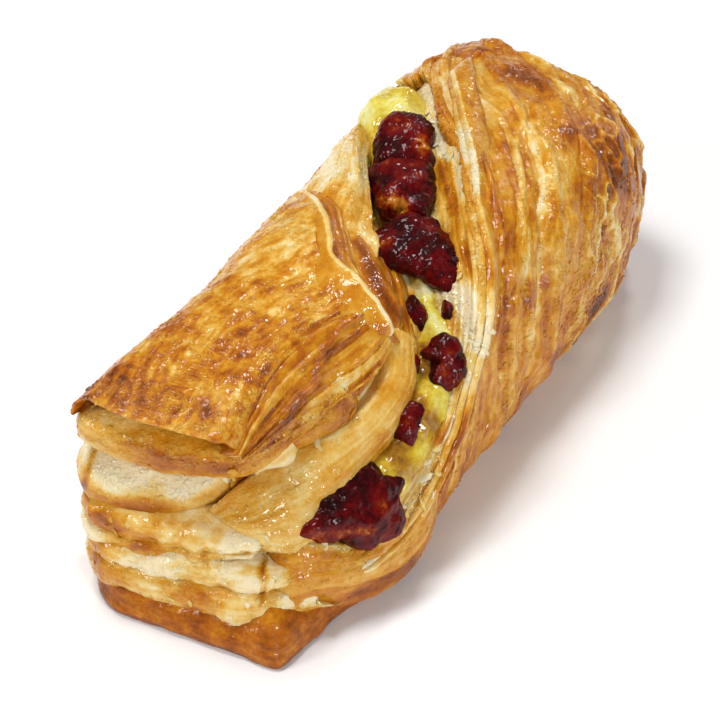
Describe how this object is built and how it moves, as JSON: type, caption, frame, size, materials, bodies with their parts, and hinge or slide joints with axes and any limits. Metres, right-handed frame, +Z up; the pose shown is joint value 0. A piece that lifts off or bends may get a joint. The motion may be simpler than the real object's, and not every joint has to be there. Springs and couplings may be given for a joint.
{
  "type": "cranberry pastry twist",
  "caption": "Baked twist of laminated dough, folded over custard and dried cranberries that show in a slanting valley, lying on its flat underside.",
  "frame": {"origin": "on the table under the middle of the bounding box", "axes": "+X along the twist to the end with the slanting ribs, -Y to the side where the open leaves and the big fruit show, +Z up"},
  "size_m": [0.1214, 0.0544, 0.041],
  "materials": {
    "pastry": "glazed flaky crust",
    "custard": "soft and glossy",
    "cranberry": "wrinkled and syrupy"
  },
  "bodies": {
    "root": {"pastry": "pastry", "custard": "custard", "cranberry_1": "cranberry", "cranberry_2": "cranberry", "cranberry_3": "cranberry", "cranberry_4": "cranberry", "cranberry_5": "cranberry", "cranberry_6": "cranberry", "cranberry_7": "cranberry", "cranberry_8": "cranberry", "cranberry_9": "cranberry"}
  },
  "joints": []
}
